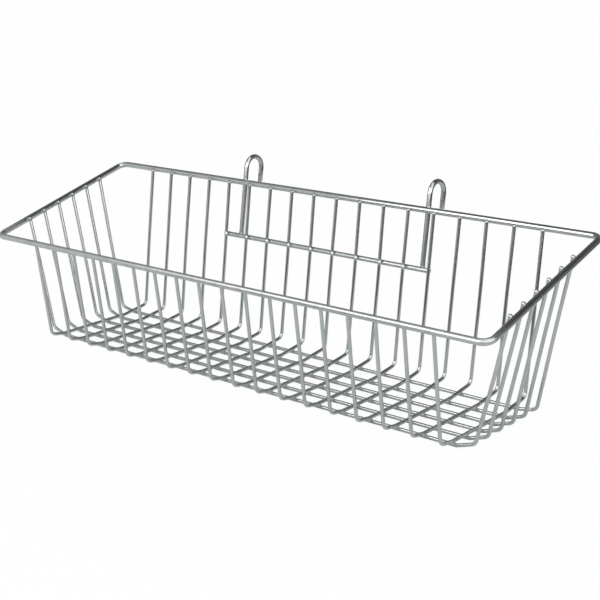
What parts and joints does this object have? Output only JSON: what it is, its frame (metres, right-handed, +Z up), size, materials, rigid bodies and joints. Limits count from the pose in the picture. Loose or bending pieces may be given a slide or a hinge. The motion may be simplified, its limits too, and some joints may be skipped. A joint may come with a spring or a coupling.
{
  "type": "wire basket",
  "caption": "Long open basket of welded bright-plated wire, with a heavy rim that slopes down to the front, a brace across the back and hooks to hang it on a display rail.",
  "frame": {"origin": "under the middle of the basket's bounding box, on the surface that the floor wires stand on", "axes": "+X along the length of the basket, to the right for someone in front of it; +Y from the low front to the back, where the hooks are; +Z up"},
  "size_m": [0.6096, 0.2186, 0.1895],
  "materials": {
    "bright_plating": "bright plated steel wire, polished, slightly uneven at the welds"
  },
  "bodies": {
    "root": {"rim": "bright_plating", "cross_wire_01": "bright_plating", "cross_wire_02": "bright_plating", "cross_wire_03": "bright_plating", "cross_wire_04": "bright_plating", "cross_wire_05": "bright_plating", "cross_wire_06": "bright_plating", "cross_wire_07": "bright_plating", "cross_wire_08": "bright_plating", "cross_wire_09": "bright_plating", "cross_wire_10": "bright_plating", "cross_wire_11": "bright_plating", "cross_wire_12": "bright_plating", "cross_wire_13": "bright_plating", "cross_wire_14": "bright_plating", "cross_wire_15": "bright_plating", "cross_wire_16": "bright_plating", "cross_wire_17": "bright_plating", "cross_wire_18": "bright_plating", "long_wire_1": "bright_plating", "long_wire_2": "bright_plating", "long_wire_3": "bright_plating", "long_wire_4": "bright_plating", "long_wire_5": "bright_plating", "long_wire_6": "bright_plating", "back_brace": "bright_plating", "hook_left": "bright_plating", "hook_right": "bright_plating"}
  },
  "joints": []
}
